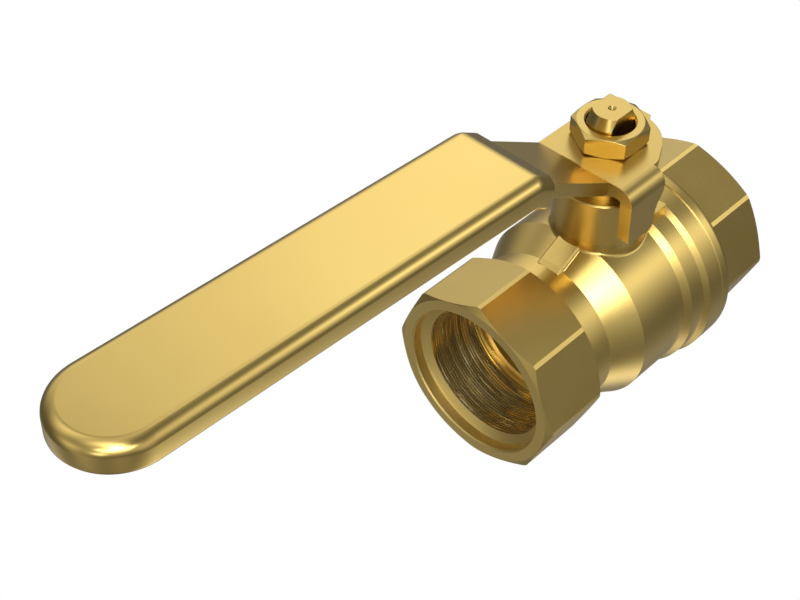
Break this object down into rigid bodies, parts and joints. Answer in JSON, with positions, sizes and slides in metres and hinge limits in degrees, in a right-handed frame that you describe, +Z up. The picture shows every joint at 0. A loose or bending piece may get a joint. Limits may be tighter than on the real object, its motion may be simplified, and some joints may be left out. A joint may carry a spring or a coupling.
{
  "type": "threaded ball valve",
  "caption": "Straight quarter-turn ball valve with female threaded ports at both ends and a long cranked lever with a sleeved grip, shown open.",
  "frame": {"origin": "centre of the inlet end face, on the pipe axis", "axes": "+X along the pipe axis from the inlet to the outlet, +Z up along the stem axis, +Y to the left seen from the inlet; the valve is open at rest and the lever points back along -X over the inlet"},
  "size_m": [0.1698, 0.0474, 0.0876],
  "materials": {
    "body_brass": "satin polished, fine forging grain",
    "stem_brass": "turned, satin",
    "lever_brass": "satin polished",
    "sleeve_brass": "smooth satin",
    "nut_brass": "satin polished",
    "ball_chrome": "polished plating",
    "seat_ptfe": "waxy matte",
    "o_ring_rubber": "matte"
  },
  "bodies": {
    "valve_body": {"body": "body_brass", "end_cap": "body_brass", "inlet_seat": "seat_ptfe", "outlet_seat": "seat_ptfe", "body_seal_ring": "seat_ptfe", "thrust_washer": "seat_ptfe", "packing_lower": "seat_ptfe", "packing_upper": "seat_ptfe", "packing_follower": "stem_brass", "gland_nut": "stem_brass"},
    "handle": {"lever": "lever_brass", "grip_sleeve": "sleeve_brass", "lever_nut": "nut_brass", "stem": "stem_brass", "stem_o_ring": "o_ring_rubber"},
    "ball": {"ball": "ball_chrome"}
  },
  "joints": [
    {"name": "handle_turn", "type": "hinge", "parent": "valve_body", "child": "handle", "pos_m": [0.0388, 0, 0], "axis": [0, 0, 1], "range_deg": [-90, 0]},
    {"name": "ball_turn", "type": "hinge", "parent": "valve_body", "child": "ball", "pos_m": [0.0388, 0, 0], "axis": [0, 0, 1], "range_deg": [-90, 0]}
  ],
  "couplings": [
    {"joint": "ball_turn", "follows": "handle_turn", "ratio": 1}
  ]
}
